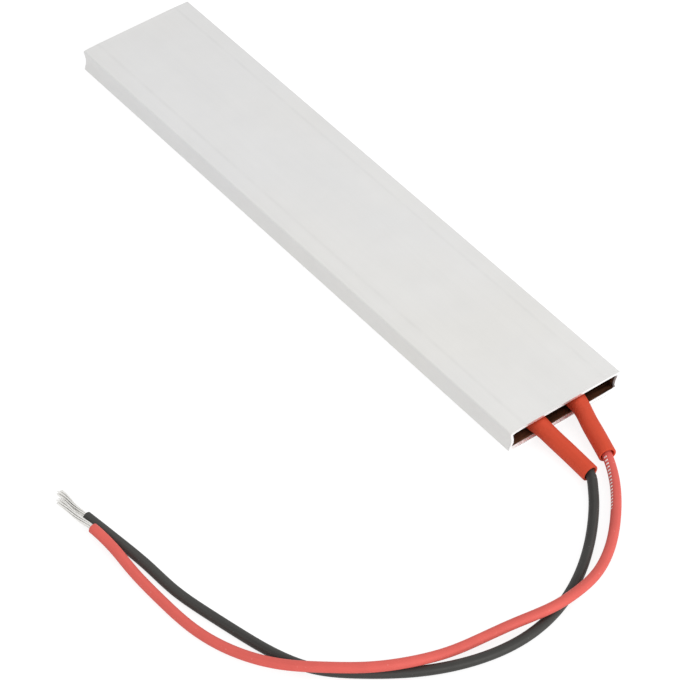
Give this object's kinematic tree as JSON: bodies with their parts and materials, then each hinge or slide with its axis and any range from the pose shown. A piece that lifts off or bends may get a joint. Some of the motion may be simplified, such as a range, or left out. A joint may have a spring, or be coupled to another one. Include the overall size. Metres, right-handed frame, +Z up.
{
  "type": "ptc heater",
  "caption": "Flat ceramic heater: tiles and electrode strips pressed in a slim open-ended aluminium tube, with two sleeved silicone leads that end in twisted bare wires.",
  "frame": {"origin": "middle of the tube's underside, which is the face that it lies on", "axes": "+X runs along the tube towards the mouth that the leads come out of, +Y across the tube, +Z up through the tube's pressed upper face"},
  "size_m": [0.1398, 0.0801, 0.0043],
  "materials": {
    "tube_metal": "matt, extruded and lightly etched",
    "film": "satin amber film, dark in the mouth",
    "electrode_metal": "satin sheet",
    "heater_ceramic": "unglazed, dark grey",
    "crimp_metal": "satin",
    "sleeve_silicone": "matt orange-red silicone",
    "red_silicone": "satin coral red silicone",
    "black_silicone": "satin dark grey silicone",
    "tinned_wire": "bright tinned strands"
  },
  "bodies": {
    "root": {"aluminium_tube": "tube_metal", "insulating_film": "film", "upper_electrode": "electrode_metal", "lower_electrode": "electrode_metal", "ptc_tile_1": "heater_ceramic", "ptc_tile_2": "heater_ceramic", "ptc_tile_3": "heater_ceramic", "ptc_tile_4": "heater_ceramic", "red_crimp_band": "crimp_metal", "black_crimp_band": "crimp_metal", "red_lead_sleeve": "sleeve_silicone", "black_lead_sleeve": "sleeve_silicone", "red_lead": "red_silicone", "black_lead": "black_silicone", "red_lead_strands": "tinned_wire", "black_lead_strands": "tinned_wire"}
  },
  "joints": []
}
